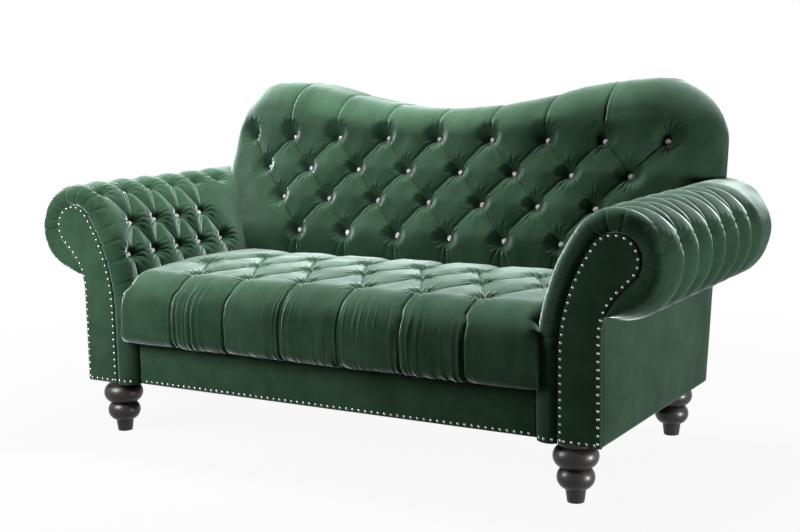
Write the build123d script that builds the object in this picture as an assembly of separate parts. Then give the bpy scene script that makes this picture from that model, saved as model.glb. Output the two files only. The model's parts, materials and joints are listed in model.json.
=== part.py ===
"""Button-tufted loveseat: hardwood frame, sinuous springs, tufted pads, nailhead trim, turned feet.

Millimetres, +Z up, front towards -Y. Sizes along Y are counted from the front of the arm facings
and every piece is moved to the shared frame (bottom centre of the whole) when it is written.
"""

import os
from math import acos, asin, atan, cos, degrees, radians, sin, sqrt, tan

from build123d import *

# Overall
overall_height = 920.0
foot_height = 140.0
body_half_width = 740.0
body_depth = 719.0
rear_lean = 10.1
clearance = 0.3

# Back
back_recline = 21.2
back_front_at_floor = 305.0
back_half_width = 764.0
back_corner_radius = 172.0
back_dip = 81.0
back_inflection_x = 366.0
back_sweep, back_sweep_start = 88.0, 412.0
back_front_rounding = 75.0
back_rear_rounding = 40.0
back_pad_thickness = 70.0
back_pad_rim = 55.0
back_pad_bottom = 262.0
back_frame_half = 600.0

# Arms: the roll and the scroll-shaped core inside it
roll_x, roll_z, roll_radius = 774.0, 545.0, 122.0
arm_inner_x = 580.0
arm_curve_start = 320.0
arm_rounding = 38.0
arm_rear_rounding = 58.0
arm_front = -6.0
core_inner_x = 638.0
core_outer_x = 732.0
core_curve_start = 330.0
head_x, head_z, head_radius = 768.0, 554.0, 60.0
neck_radius = 140.0
facing_thickness = 10.0
liner_thickness = 3.0
arm_rear_board = 16.0

# Seat
seat_overhang = 30.0
seat_bottom = 257.0
seat_edge_height = 440.0
seat_crown = 9.0
seat_front_rounding = 105.0
seat_pleat_depth = 12.0

# Tufts and buttons
tuft_pitch = 163.5
back_rows = [(776.0, 4.0), (689.0, 3.5), (607.0, 3.0), (517.0, 2.5)]
back_tuft_depth, back_tuft_radius = 38.0, 54.0
seat_rows = [(92.0, 2.5), (237.0, 3.0), (382.0, 2.5)]
seat_tuft_depth, seat_tuft_radius = 24.0, 50.0
arm_tuft_pitch = 98.0
arm_tuft_start = 57.0
arm_tuft_depth, arm_tuft_radius = 26.0, 42.0
arm_row_z = [488.0, 569.0]
roll_row_angle, roll_crest_angle = 119.0, 80.0
button_radius = 8.0
cup_height = 2.0
crystal_height = 5.0
pleat_half_width = 11.0
back_pleat_depth = 13.0
seat_pleat_groove, seat_end_groove = 10.0, 8.0
arm_pleat_depth, arm_crest_pleat_depth, arm_pleat_half_width = 8.0, 6.0, 8.0

# Frame timber
rail_thickness = 30.0
rail_height = 104.0
seat_rail_thickness = 25.0
seat_rail_x = 588.0
board_thickness = 18.0
upright_thickness = 22.0
upright_x = [140.0, 540.0]
stretcher_width, stretcher_height = 40.0, 58.0
tack_rail_width, tack_rail_height = 20.0, 50.0
arm_top_rail_size = 46.0
block_leg = 70.0
block_height = 70.0
dowel_radius, dowel_length = 5.0, 40.0
screw_radius, screw_length = 2.2, 45.0

# Suspension, covers and trim
spring_count = 8
spring_pitch = 140.0
spring_wire = 1.9
spring_curls = 16
spring_half_width = 26.0
clip_sheet = 1.2
felt_thickness = 4.0
strap_width, strap_thickness, strap_pitch = 60.0, 2.0, 160.0
dust_cover_thickness = 2.0
panel_thickness = 4.0
outside_back_thickness = 6.0
apron_thickness = 8.0
nail_radius, nail_height = 3.7, 2.4
nail_pitch = 18.0
nail_inset = 7.0

# Feet
foot_x = 662.0
foot_front_y = 49.0
foot_rear_y = 676.0
bolt_radius, bolt_length = 4.0, 76.0
insert_radius, insert_length = 6.0, 20.0

# Values that follow from the sizes above
lean, recline = radians(rear_lean), radians(back_recline)
rail_bottom = foot_height + dust_cover_thickness
rail_top = rail_bottom + rail_height
front_rail_y = foot_front_y - rail_thickness / 2
rear_rail_y = foot_rear_y - rail_thickness / 2
rails_front = front_rail_y + rail_thickness
side_inner = body_half_width - panel_thickness
hump_x = back_half_width - back_corner_radius
arm_step = rail_top + 2.0


def rear_y(z, depth=0.0):
    """Y of the sofa's leaning rear face at height z, or of a face that lies depth in front of it."""
    return body_depth + tan(lean) * (z - foot_height) - depth / cos(lean)


def back_y(z, depth=0.0):
    """Y of the back's reclined front at height z, or of a face that lies depth behind it."""
    return back_front_at_floor + tan(recline) * z + depth / cos(recline)


def box(x0, x1, y0, y1, z0, z1):
    return Pos(x0, y0, z0) * Solid.make_box(x1 - x0, y1 - y0, z1 - z0)


def seg(a, b):
    return Edge.make_line(a, b)


def arc(centre, radius, start, end, place):
    """An arc about centre between two angles in degrees, as two halves when it is long."""
    parts = 1 if abs(end - start) < 120 else 2
    step = (end - start) / parts

    def at(angle):
        turn = radians(angle)
        return place(centre[0] + radius * cos(turn), centre[1] + radius * sin(turn))

    cuts = [start + step * k for k in range(parts)]
    return [Edge.make_three_point_arc(at(a), at(a + step / 2), at(a + step)) for a in cuts]


def across(y):
    """Places flat x, z coordinates in the upright plane at depth y."""
    return lambda x, z: Vector(x, y, z)


def along_rear(depth):
    """Places flat x, z coordinates in the leaning plane that lies depth in front of the rear face."""
    return lambda x, z: Vector(x, rear_y(z, depth), z)


def slab(edges, y0, y1):
    return Solid.extrude(Face(Wire(edges)), Vector(0, y1 - y0, 0))


def side_slab(points, x0, x1):
    """A board with a y, z outline, between two x faces."""
    outline = Wire.make_polygon([Vector(x0, y, z) for y, z in points])
    return Solid.extrude(Face(outline), Vector(x1 - x0, 0, 0))


def flip(shape):
    return shape.mirror(Plane.YZ)


def group(solids):
    return Compound(list(solids))


def both(solids):
    solids = list(solids)
    return solids + [flip(s) for s in solids]


def groove(p, q, normal, depth, rise, half_width=pleat_half_width, start=0.25, end=0.75):
    """A V-shaped pleat between the tufts p and q, sunk below the surface with this normal."""
    p, q = p + (q - p) * start, p + (q - p) * end
    side = (q - p).cross(normal).normalized()
    spread = side * (half_width * (depth + rise) / depth)
    top = p + normal * rise
    outline = Wire.make_polygon([p - normal * depth, top + spread, top - spread])
    return Solid.extrude(Face(outline), q - p)


def well(p, normal, depth, radius, rise=4.0):
    """The funnel that a button pulls into a pad, with a flat floor for the button."""
    floor = button_radius + clearance
    flare = floor + (radius - floor) * (depth + rise) / depth
    return Solid.make_cone(floor, flare, depth + rise, Plane(p - normal * depth, z_dir=normal))


def lattice(rows):
    """Tuft places of a diamond pattern, as one list of x for each row."""
    spread = []
    for value, reach in rows:
        count = int(round(2 * reach)) + 1
        spread.append((value, [(i - reach) * tuft_pitch for i in range(count)]))
    return spread


def diagonals(upper, lower, reach=0.75 * tuft_pitch):
    return [(a, b) for a in upper for b in lower if abs(a - b) < reach]


# Base frame, with holes for the dowels, screws and foot bolts
dowel_x = [body_half_width - panel_thickness - rail_thickness / 2]
dowel_x.append(seat_rail_x + seat_rail_thickness / 2)
dowel_heights = [rail_bottom + 28, rail_top - 26]
dowel_places = [(x, y, z) for x in dowel_x for y in (rails_front, rear_rail_y) for z in dowel_heights]
dowel_places += [(0, y, rail_bottom + stretcher_height / 2) for y in (rails_front, rear_rail_y)]


def along_y(radius, x, y0, y1, z):
    return Solid.make_cylinder(radius, y1 - y0, Plane((x, y0, z), z_dir=(0, 1, 0)))


def dowel(x, y, z, grow=0.0):
    half = dowel_length / 2 + grow
    return along_y(dowel_radius + grow, x, y - half, y + half, z)


def on_both_sides(places):
    return places + [(-x, y, z) for x, y, z in places if x]


all_dowels = on_both_sides(dowel_places)
dowel_holes = [dowel(*place, clearance / 2) for place in all_dowels]

block_z = rail_bottom + 18
block_x = side_inner - rail_thickness


def corner_block(y, turn):
    """The glue block in an outer corner of the base; turn is +1 at the front and -1 at the rear."""
    tips = [(block_x, y), (block_x - block_leg, y), (block_x, y + turn * block_leg)]
    outline = Wire.make_polygon([Vector(a, b, block_z) for a, b in tips])
    return Solid.extrude(Face(outline), Vector(0, 0, block_height))


def block_screws(y, turn, grow=0.0):
    """Two screws of a corner block, one into each rail; with grow, the room they take."""
    mid = block_leg * 0.42
    sink = block_leg if grow else 3.0
    places = [
        Plane((block_x - mid, y + turn * mid / 2, block_z + 22), z_dir=(0, -turn, 0)),
        Plane((block_x - mid / 2, y + turn * mid, block_z + 48), z_dir=(1, 0, 0)),
    ]
    shapes = []
    for plane in places:
        shank = Solid.make_cylinder(screw_radius + grow, screw_length + grow - mid / 2, plane)
        head = Solid.make_cylinder(2 * screw_radius + grow, sink, plane.offset(-sink))
        shapes.append(shank + head)
    return shapes


corners = [(rails_front, 1), (rear_rail_y, -1)]
screw_room = both(s for y, turn in corners for s in block_screws(y, turn, clearance / 2))
blocks = both(corner_block(y, turn) - block_screws(y, turn, clearance / 2) for y, turn in corners)

foot_places = [(sx * foot_x, y) for y in (foot_front_y, foot_rear_y) for sx in (-1, 1)]
bolt_z = foot_height - bolt_length / 2


def upright_cylinder(radius, x, y, z0, z1):
    return Pos(x, y, z0) * Solid.make_cylinder(radius, z1 - z0)


bolts = [upright_cylinder(bolt_radius, x, y, bolt_z, bolt_z + bolt_length) for x, y in foot_places]
bolt_room = [
    upright_cylinder(bolt_radius + clearance, x, y, bolt_z - 1, bolt_z + bolt_length + 1)
    for x, y in foot_places
]
insert_top = rail_bottom + insert_length
inserts = [
    upright_cylinder(insert_radius, x, y, rail_bottom, insert_top) - bolt_room
    for x, y in foot_places
]
insert_room = [
    upright_cylinder(insert_radius + clearance / 3, x, y, rail_bottom - 1, insert_top)
    for x, y in foot_places
]


def timber(x0, x1, y0, y1, top=rail_top):
    return box(x0, x1, y0, y1, rail_bottom, top) - dowel_holes - screw_room - bolt_room - insert_room


front_rail = timber(-side_inner, side_inner, front_rail_y, rails_front)
rear_rail = timber(-side_inner, side_inner, rear_rail_y, rear_rail_y + rail_thickness)
side_rail = timber(side_inner - rail_thickness, side_inner, rails_front, rear_rail_y)
seat_rail = timber(seat_rail_x, seat_rail_x + seat_rail_thickness, rails_front, rear_rail_y)
half_stretcher = stretcher_width / 2
stretcher_top = rail_bottom + stretcher_height
stretcher = timber(-half_stretcher, half_stretcher, rails_front, rear_rail_y, stretcher_top)

# Seat springs in their clips, and the felt over them
wire_z = rail_top + clip_sheet + spring_wire + 0.05
clip_height = 2 * clip_sheet + 2 * spring_wire + 0.1
felt_bottom = rail_top + clip_height


def spring(x):
    """One zigzag wire from the front rail to the rear rail."""
    pitch = (foot_rear_y - foot_front_y) / spring_curls
    bar = spring_half_width - pitch / 2
    path = []
    for k in range(spring_curls):
        y = foot_front_y + k * pitch
        sign = 1 if k % 2 == 0 else -1
        path.append(seg((x - sign * bar, y, wire_z), (x + sign * bar, y, wire_z)))
        turn = (x + sign * bar, y, wire_z)
        crest = (x + sign * (bar + pitch / 2), y + pitch / 2, wire_z)
        path.append(Edge.make_three_point_arc(turn, crest, (x + sign * bar, y + pitch, wire_z)))
    sign = 1 if spring_curls % 2 == 0 else -1
    last = (x - sign * bar, foot_rear_y, wire_z)
    path.append(seg(last, (x + sign * bar, foot_rear_y, wire_z)))
    start = Plane(path[0] @ 0, z_dir=path[0] % 0)
    return Solid.sweep(Face(Wire.make_circle(spring_wire, start)), Wire(path))


def clip(x, y, facing):
    """A sheet-metal clip folded over the end bar of a spring."""
    back, mouth = y - facing * (spring_wire + clip_sheet + 0.05), y + facing * 12
    hollow = y - facing * (spring_wire + 0.05)
    top = rail_top + clip_height
    outline = [(mouth, rail_top), (back, rail_top), (back, top), (mouth, top)]
    outline += [(mouth, top - clip_sheet), (hollow, top - clip_sheet)]
    outline += [(hollow, rail_top + clip_sheet), (mouth, rail_top + clip_sheet)]
    return side_slab(outline, x - 5, x + 5)


spring_x = [(i - (spring_count - 1) / 2) * spring_pitch for i in range(spring_count)]
springs = [spring(x) for x in spring_x]
clips = [clip(x, y, f) for x in spring_x for y, f in ((foot_front_y, 1), (foot_rear_y, -1))]
felt_half = arm_inner_x - 5
felt_rear = back_y(back_pad_bottom, back_pad_thickness)
felt = box(-felt_half, felt_half, rails_front, felt_rear, felt_bottom, felt_bottom + felt_thickness)


def tangent_radius(x, z, centre_x, centre_z, radius):
    """Radius of the arc that leaves an upright line at (x, z) and runs into a circle."""
    a, b = x - centre_x, z - centre_z
    return (radius**2 - a**2 - b**2) / (2 * (a + radius))


# Arms, built on the right and mirrored to the left
pad_curve = tangent_radius(arm_inner_x, arm_curve_start, roll_x, roll_z, roll_radius)
core_curve = tangent_radius(core_inner_x, core_curve_start, head_x, head_z, head_radius)


def shoulder(x, start, curve, inset, place):
    """The inner edge of an arm outline: an upright line, then the long arc up to the roll."""
    circle_x, circle_z = (roll_x, roll_z) if x < core_inner_x else (head_x, head_z)
    tilt = degrees(atan((circle_z - start) / (x + curve - circle_x)))
    edges = [seg(place(x + inset, foot_height), place(x + inset, start))]
    return edges + arc((x + curve, start), curve - inset, 180, 180 - tilt, place), 180 - tilt


def pad_outline(inset, place):
    """Outline of the padded arm: inner face, shoulder, roll, and the upright face under the roll."""
    edges, turn = shoulder(arm_inner_x, arm_curve_start, pad_curve, inset, place)
    radius = roll_radius - inset
    end = -degrees(acos((core_outer_x - 1 - roll_x) / radius))
    edges += arc((roll_x, roll_z), radius, turn, end, place)
    under = edges[-1] @ 1
    edges.append(seg(under, place(under.X, foot_height)))
    edges.append(seg(place(under.X, foot_height), place(arm_inner_x + inset, foot_height)))
    return edges


def core_outline(inset, y, outer_x=core_outer_x):
    """Outline of the scroll boards in an arm, or of its facing, which reaches the outer panel's face."""
    place = across(y)
    edges, turn = shoulder(core_inner_x, core_curve_start, core_curve, inset, place)
    radius = head_radius - inset
    edges += arc((head_x, head_z), radius, turn, -45, place)
    bend = neck_radius + inset
    outer = outer_x - inset
    tip = edges[-1] @ 1
    run = (tip.X - outer - bend * (1 - cos(radians(45)))) / cos(radians(45))
    drop = place(tip.X - run * cos(radians(45)), tip.Z - run * sin(radians(45)))
    edges.append(seg(tip, drop))
    centre = (outer + bend, drop.Z - bend * sin(radians(45)))
    edges += arc(centre, bend, 135, 180, place)
    foot = place(outer, foot_height)
    edges.append(seg(edges[-1] @ 1, foot))
    edges.append(seg(foot, place(core_inner_x + inset, foot_height)))
    return edges


def rounded(radius):
    """Depth and inset of the steps round a quarter-round edge."""
    steps = [radians(t) for t in (0, 30, 60, 90)]
    return [(radius * (1 - cos(t)), radius * (1 - sin(t))) for t in steps]


arm_end = outside_back_thickness + clearance
sections = [Wire(pad_outline(i, across(arm_front + d))) for d, i in rounded(arm_rounding)]
sections += [
    Wire(pad_outline(i, along_rear(arm_end + d))) for d, i in reversed(rounded(arm_rear_rounding))
]
core_end = rear_rail_y + rail_thickness + arm_rear_board
arm_body = Solid.make_loft(sections, ruled=True)
arm_body -= slab(core_outline(-clearance, 0), 0, core_end)
facing_room = core_outline(-clearance, arm_front - 5, body_half_width)
arm_body -= slab(facing_room, arm_front - 5, facing_thickness + clearance)
arm_body -= box(0, 2 * body_half_width, front_rail_y - clearance, 2 * body_depth, 0, arm_step)


def pad_point(z, y):
    """Place and normal on the inner face of the right arm at height z."""
    turn = asin((z - arm_curve_start) / pad_curve)
    normal = Vector(-cos(turn), 0, sin(turn))
    return Vector(arm_inner_x + pad_curve, y, arm_curve_start) + normal * pad_curve, normal


def roll_point(angle, y):
    """Place and normal on the roll of the right arm, the angle counted from straight outwards."""
    normal = Vector(cos(radians(angle)), 0, sin(radians(angle)))
    return Vector(roll_x, y, roll_z) + normal * roll_radius, normal


columns = [arm_tuft_start + arm_tuft_pitch * i for i in range(6)]
half_columns = [y + arm_tuft_pitch / 2 for y in columns]
reach = back_tuft_depth
low_row = [pad_point(arm_row_z[0], y) for y in columns if y < back_y(arm_row_z[0]) - reach]
mid_row = [pad_point(arm_row_z[1], y) for y in half_columns if y < back_y(arm_row_z[1]) - reach]
high_row = [roll_point(roll_row_angle, y) for y in columns]
crest_row = [roll_point(roll_crest_angle, y) for y in half_columns]
arm_tufts = low_row + mid_row + high_row


def pleats_between(upper, lower, depth):
    cuts = []
    for p, n in upper:
        for q, m in lower:
            if abs(p.Y - q.Y) < 0.75 * arm_tuft_pitch:
                normal = (n + m).normalized()
                cuts.append(groove(p, q, normal, depth, 12.0, arm_pleat_half_width, 0.2, 0.8))
    return cuts


def ring_pleat(y):
    """A pleat drawn round the outside of the roll to its underside."""
    depth, rise, half = arm_pleat_depth, 10.0, arm_pleat_half_width
    turn = radians(roll_crest_angle)
    radial = Vector(cos(turn), 0, sin(turn))
    centre = Vector(roll_x, y, roll_z)
    low, high = centre + radial * (roll_radius - depth), centre + radial * (roll_radius + rise)
    spread = Vector(0, half * (depth + rise) / depth, 0)
    outline = Wire.make_polygon([low, high - spread, high + spread])
    axis = Axis((roll_x, 0, roll_z), (0, 1, 0))
    return Solid.revolve(Face(outline), 178, axis)


arm_wells = [well(p, n, arm_tuft_depth, arm_tuft_radius, 10.0) for p, n in arm_tufts]
arm_pleats = pleats_between(mid_row, low_row, arm_pleat_depth)
arm_pleats += pleats_between(high_row, mid_row, arm_pleat_depth)
arm_pleats += pleats_between(crest_row, high_row, arm_crest_pleat_depth)
for p, n in low_row:
    q, m = pad_point(arm_curve_start, p.Y)
    normal = (n + m).normalized()
    arm_pleats.append(groove(p, q, normal, arm_pleat_depth, 12.0, arm_pleat_half_width, 0.15, 1.0))
arm_pad = arm_body - [ring_pleat(y) for y in half_columns]
arm_pad = arm_pad - arm_wells
for pleat in arm_pleats:
    arm_pad = arm_pad - pleat
arm_pad = arm_pad.solids().sort_by(SortBy.VOLUME)[-1]

front_board_y = facing_thickness
inner_rail_x = core_inner_x + liner_thickness + clearance
arm_facing = slab(core_outline(clearance, 0, body_half_width), 0, facing_thickness)
board_inset = liner_thickness + clearance
arm_front_board = slab(core_outline(board_inset, front_board_y), front_board_y, front_rail_y)
arm_rear_y = rear_rail_y + rail_thickness
arm_rear_board_solid = slab(core_outline(board_inset, arm_rear_y), arm_rear_y, core_end)
liner_run = (front_board_y, core_end)
arm_liner = slab(core_outline(0, liner_run[0]), *liner_run)
arm_liner -= slab(core_outline(liner_thickness, liner_run[0]), *liner_run)
arm_liner -= box(0, 2 * roll_x, -50, 2 * body_depth, 0, arm_step + 2)
outer_rail_z = core_curve_start + 60
panel_top = roll_z - sqrt(roll_radius**2 - (roll_x - body_half_width) ** 2) - 2 * clearance
arm_liner -= box(head_x - head_radius, 2 * roll_x, -50, 2 * body_depth, 0, panel_top + 1)
half_top = arm_top_rail_size / 2
arm_top_rail = box(
    head_x - half_top, head_x + half_top, front_rail_y, arm_rear_y, head_z - half_top, head_z + half_top
)
arm_inner_rail = box(
    inner_rail_x, inner_rail_x + tack_rail_width, front_rail_y, arm_rear_y,
    rail_top, rail_top + tack_rail_height,
)
arm_outer_rail = box(
    side_inner - rail_thickness, side_inner, front_rail_y, arm_rear_y,
    outer_rail_z - tack_rail_height + 15, outer_rail_z + 15,
)
panel_front = facing_thickness + clearance
panel_sides = [(panel_front, foot_height), (rear_y(foot_height), foot_height)]
panel_sides += [(rear_y(panel_top), panel_top), (panel_front, panel_top)]
outside_arm = side_slab(panel_sides, side_inner, body_half_width)

# The back: a rounded, reclined body with a double-hump top edge
drop_angle = 2 * atan(back_dip / hump_x)
dip_radius = back_inflection_x / sin(drop_angle)
hump_radius = (hump_x - back_inflection_x) / sin(drop_angle)


def front_plane(depth):
    return Plane((0, back_y(0, depth), 0), (1, 0, 0), (0, -cos(recline), sin(recline)))


def rear_plane(depth):
    return Plane((0, rear_y(0, depth), 0), (1, 0, 0), (0, -cos(lean), sin(lean)))


def back_outline(plane, inset, low, tilt):
    """The double-hump outline in a leaning plane, from height low upwards."""
    top, foot = overall_height / cos(tilt), low / cos(tilt)
    width = back_half_width - inset
    turn = degrees(drop_angle)
    corner = (hump_x, top - back_corner_radius)
    hump = (hump_x, top - hump_radius)
    dip = (0, top - back_dip + dip_radius)

    def place(x, w):
        return plane.from_local_coords(Vector(x, w, 0))

    edges = [seg(place(width, foot), place(width, corner[1]))]
    edges += arc(corner, back_corner_radius - inset, 0, 90, place)
    edges += arc(hump, hump_radius - inset, 90, 90 + turn, place)
    edges += arc(dip, dip_radius + inset, 270 + turn, 270 - turn, place)
    edges += arc((-hump_x, hump[1]), hump_radius - inset, 90 - turn, 90, place)
    edges += arc((-hump_x, corner[1]), back_corner_radius - inset, 90, 180, place)
    edges.append(seg(place(-width, corner[1]), place(-width, foot)))
    edges.append(seg(place(-width, foot), place(width, foot)))
    return Wire(edges)


def back_board(plane, inset, low, tilt, thickness):
    """A board in a leaning plane, its thickness towards the rear."""
    return Solid.extrude(Face(back_outline(plane, inset, low, tilt)), plane.z_dir * -thickness)


def drop(x):
    """How far the top edge lies below its highest point at x."""
    x = abs(x)
    if x < back_inflection_x:
        return back_dip - dip_radius + sqrt(dip_radius**2 - x**2)
    if x < hump_x:
        return hump_radius - sqrt(hump_radius**2 - (x - hump_x) ** 2)
    return back_corner_radius - sqrt(max(back_corner_radius**2 - (x - hump_x) ** 2, 0))


def sweep(x):
    """How far the front of the back curves rearwards at x."""
    reach = max(abs(x) - back_sweep_start, 0) / (back_half_width - back_sweep_start)
    return back_sweep * reach**2


def edge_depth(x, radius):
    """Depth of a quarter-round side edge at x."""
    inside = min(back_half_width - abs(x), radius)
    return radius - sqrt(radius**2 - (radius - inside) ** 2)


low_end = back_pad_bottom - 60


def back_profile(x):
    """Outline of the back at x: reclined front, rounded top edge and leaning rear."""
    front_depth = edge_depth(x, back_front_rounding)
    rear_depth = edge_depth(x, back_rear_rounding)
    front_round = max(back_front_rounding - front_depth, 8)
    rear_round = max(back_rear_rounding - rear_depth, 5)
    front_top = overall_height / cos(recline) - drop(x)
    rear_top = overall_height / cos(lean) - drop(x)
    bend = 1 - sin(radians(45))

    def front(w, depth):
        return Vector(x, back_y(w * cos(recline), front_depth + depth) + sweep(x), w * cos(recline))

    def rear(w, depth):
        return Vector(x, rear_y(w * cos(lean), rear_depth + depth), w * cos(lean))

    foot, heel = front(low_end / cos(recline), 0), rear(low_end / cos(lean), 0)
    brow, crest = front(front_top - front_round, 0), front(front_top, front_round)
    ridge, nape = rear(rear_top, rear_round), rear(rear_top - rear_round, 0)
    front_mid = front(front_top - bend * front_round, bend * front_round)
    rear_mid = rear(rear_top - bend * rear_round, bend * rear_round)
    return Wire([
        seg(foot, brow),
        Edge.make_three_point_arc(brow, front_mid, crest),
        seg(crest, ridge),
        Edge.make_three_point_arc(ridge, rear_mid, nape),
        seg(nape, heel),
        seg(heel, foot),
    ])


corner_turns = [radians(t) for t in (0, 12, 24, 36, 48, 60, 72, 84, 90)]
half_stations = [hump_x + back_corner_radius * sin(t) for t in corner_turns]
half_stations += [back_inflection_x * k / 5 for k in range(1, 6)]
half_stations += [back_inflection_x + (hump_x - back_inflection_x) * k / 5 for k in range(1, 5)]
stations = sorted([0.0] + half_stations + [-x for x in half_stations])
back_body = Solid.make_loft([back_profile(x) for x in stations], ruled=True)
far = 2 * body_depth
hollow = [
    back_outline(front_plane(back_pad_thickness), back_pad_rim, low_end - 60, recline),
    back_outline(rear_plane(-30), back_pad_rim, low_end - 60, lean),
]
frame_room = box(-back_frame_half, back_frame_half, 0, far, 0, overall_height)
back_body -= Solid.make_loft(hollow, ruled=True) & frame_room
panel_room = outside_back_thickness + clearance
back_body -= back_board(rear_plane(panel_room), back_pad_rim, low_end, lean, 2 * panel_room)
back_body -= box(-far, far, 0, far, 0, back_pad_bottom)
arm_room = slab(pad_outline(-clearance, across(0)), 0, far)
below_roll = box(side_inner - 30, back_half_width + 50, 0, far, 0, roll_z)
back_body -= [arm_room, flip(arm_room)]
back_body -= [below_roll, flip(below_roll)]


def back_point(x, z):
    return Vector(x, back_y(z) + sweep(x), z)


def back_normal(x):
    """Outward normal of the back's front at x."""
    ahead = sweep(abs(x) + 1) - sweep(abs(x))
    return Vector(ahead if x > 0 else -ahead, -1, tan(recline)).normalized()


back_tufts = lattice(back_rows)
back_wells = [back_point(x, z) for z, xs in back_tufts for x in xs]
back_funnels = [well(p, back_normal(p.X), back_tuft_depth, back_tuft_radius) for p in back_wells]
back_cuts = []


def back_pleat(xa, za, xb, zb, end=0.75):
    normal = back_normal((xa + xb) / 2)
    ends = back_point(xa, za), back_point(xb, zb)
    return groove(*ends, normal, back_pleat_depth, 5.0, end=end)


for (za, upper), (zb, lower) in zip(back_tufts, back_tufts[1:]):
    back_cuts += [back_pleat(a, za, b, zb) for a, b in diagonals(upper, lower)]
top_z, top_xs = back_tufts[0]
low_z, low_xs = back_tufts[-1]
back_cuts += [back_pleat(x, top_z, x, overall_height, 1.0) for x in top_xs[1:-1]]
back_cuts += [back_pleat(x, low_z, x, back_pad_bottom - 20, 1.0) for x in low_xs]
back_pad = back_body - back_funnels
back_pad = back_pad - back_cuts

# Back frame behind the pad
board_front = back_pad_thickness + strap_thickness
board_rear = board_front + board_thickness
board_rim = back_pad_rim + 1.5
board_half = back_frame_half - clearance
board_room = box(-board_half, board_half, 0, far, 0, overall_height)
top_rail_low, rear_rail_low = overall_height - 220, overall_height - 175
back_top_rail = back_board(front_plane(board_front), board_rim, top_rail_low, recline, board_thickness)
back_top_rail = back_top_rail & board_room
bottom_half = arm_inner_x - 3
bottom_low, bottom_high = back_pad_bottom + 0.5, back_pad_bottom + 68
bottom_corners = [(-bottom_half, bottom_low), (bottom_half, bottom_low)]
bottom_corners += [(bottom_half, bottom_high), (-bottom_half, bottom_high)]


def board_in(plane, tilt, corners, thickness):
    points = [plane.from_local_coords(Vector(x, z / cos(tilt), 0)) for x, z in corners]
    return Solid.extrude(Face(Wire.make_polygon(points)), plane.z_dir * -thickness)


back_bottom_rail = board_in(front_plane(board_front), recline, bottom_corners, board_thickness)
rear_rail_front = outside_back_thickness + board_thickness
back_rear_rail = back_board(rear_plane(rear_rail_front), board_rim, rear_rail_low, lean, board_thickness)
back_rear_rail = back_rear_rail & board_room


def upright(x):
    """A tapered upright that stands on the rear rail and joins the front and rear boards."""
    top = overall_height - drop(x - upright_thickness) - back_pad_rim - 8
    rear = rear_rail_front + clearance
    low = back_pad_bottom + 20
    points = [(rear_rail_y, rail_top), (rear_y(rail_top, rear), rail_top), (rear_y(top, rear), top)]
    points += [(back_y(top, board_rear), top), (back_y(low, board_rear), low)]
    return side_slab(points, x - upright_thickness / 2, x + upright_thickness / 2)


inner_upright, outer_upright = [upright(x) for x in upright_x]


def strap(x):
    low, high = back_pad_bottom + 8, overall_height - back_dip - back_pad_rim - 20
    half = strap_width / 2
    corners = [(x - half, low), (x + half, low), (x + half, high), (x - half, high)]
    return board_in(front_plane(back_pad_thickness), recline, corners, strap_thickness)


straps = [strap((i - 3) * strap_pitch) for i in range(7)]

panel_half = side_inner - clearance
panel_step = roll_z + roll_radius - 30
upper_panel = back_board(
    rear_plane(0), back_pad_rim + clearance, panel_step, lean, -outside_back_thickness
)
lower_corners = [(-panel_half, foot_height), (panel_half, foot_height)]
lower_corners += [(panel_half, panel_step), (-panel_half, panel_step)]
outside_back = upper_panel + board_in(rear_plane(0), lean, lower_corners, -outside_back_thickness)

# Seat cushion: profiles drawn in at the pleats and full between them
seat_half = arm_inner_x - clearance
pleat_xs = lattice(seat_rows)[0][1]


def seat_profile(x, inset, sink=0.0):
    """The cushion's front-to-back profile at x, drawn in by inset at the front edge."""
    rear = back_y(seat_edge_height) + 40
    radius = seat_front_rounding - inset
    centre_y = seat_front_rounding - seat_overhang
    centre_z = seat_edge_height - seat_front_rounding

    def at(y, z):
        return Vector(x, y, z)

    crest = at(centre_y, centre_z + radius - sink)
    front = at(centre_y - radius, centre_z - sink / 2)
    bend = at(centre_y - radius * cos(radians(45)), centre_z + radius * sin(radians(45)) - sink * 0.8)
    tuck = at(centre_y - radius + 45, seat_bottom)
    belly = at(centre_y - radius + 13, (seat_bottom + front.Z) / 2 - 10)
    tail = at(rear, seat_edge_height - sink)
    middle = at((centre_y + rear) / 2, seat_edge_height + seat_crown - sink - inset / 3)
    return Wire([
        Edge.make_three_point_arc(tuck, belly, front),
        Edge.make_three_point_arc(front, bend, crest),
        Edge.make_three_point_arc(crest, middle, tail),
        seg(tail, at(rear, seat_bottom)),
        seg(at(rear, seat_bottom), tuck),
    ])


stations = [(-seat_half, 18, 12), (-seat_half + 25, 4, 2), (seat_half - 25, 4, 2), (seat_half, 18, 12)]
for x in pleat_xs:
    stations += [(x, seat_pleat_depth, 0)]
    stations += [(x + s * 24, seat_pleat_depth * 0.3, 0) for s in (-1, 1)]
    stations += [(x + s * tuft_pitch / 2, 0, 0) for s in (-1, 1) if s > 0 or x == pleat_xs[0]]
seat_body = Solid.make_loft([seat_profile(*s) for s in sorted(stations)], ruled=True)
leaning = [(back_y(z, -2 * clearance), z) for z in (0, overall_height)]
seat_body -= side_slab(leaning + [(far, overall_height), (far, 0)], -far, far)

up = Vector(0, 0, 1)
seat_top = seat_edge_height + seat_crown
seat_tufts = lattice(seat_rows)


def seat_point(x, y):
    return Vector(x, y, seat_top - 4)


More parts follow.
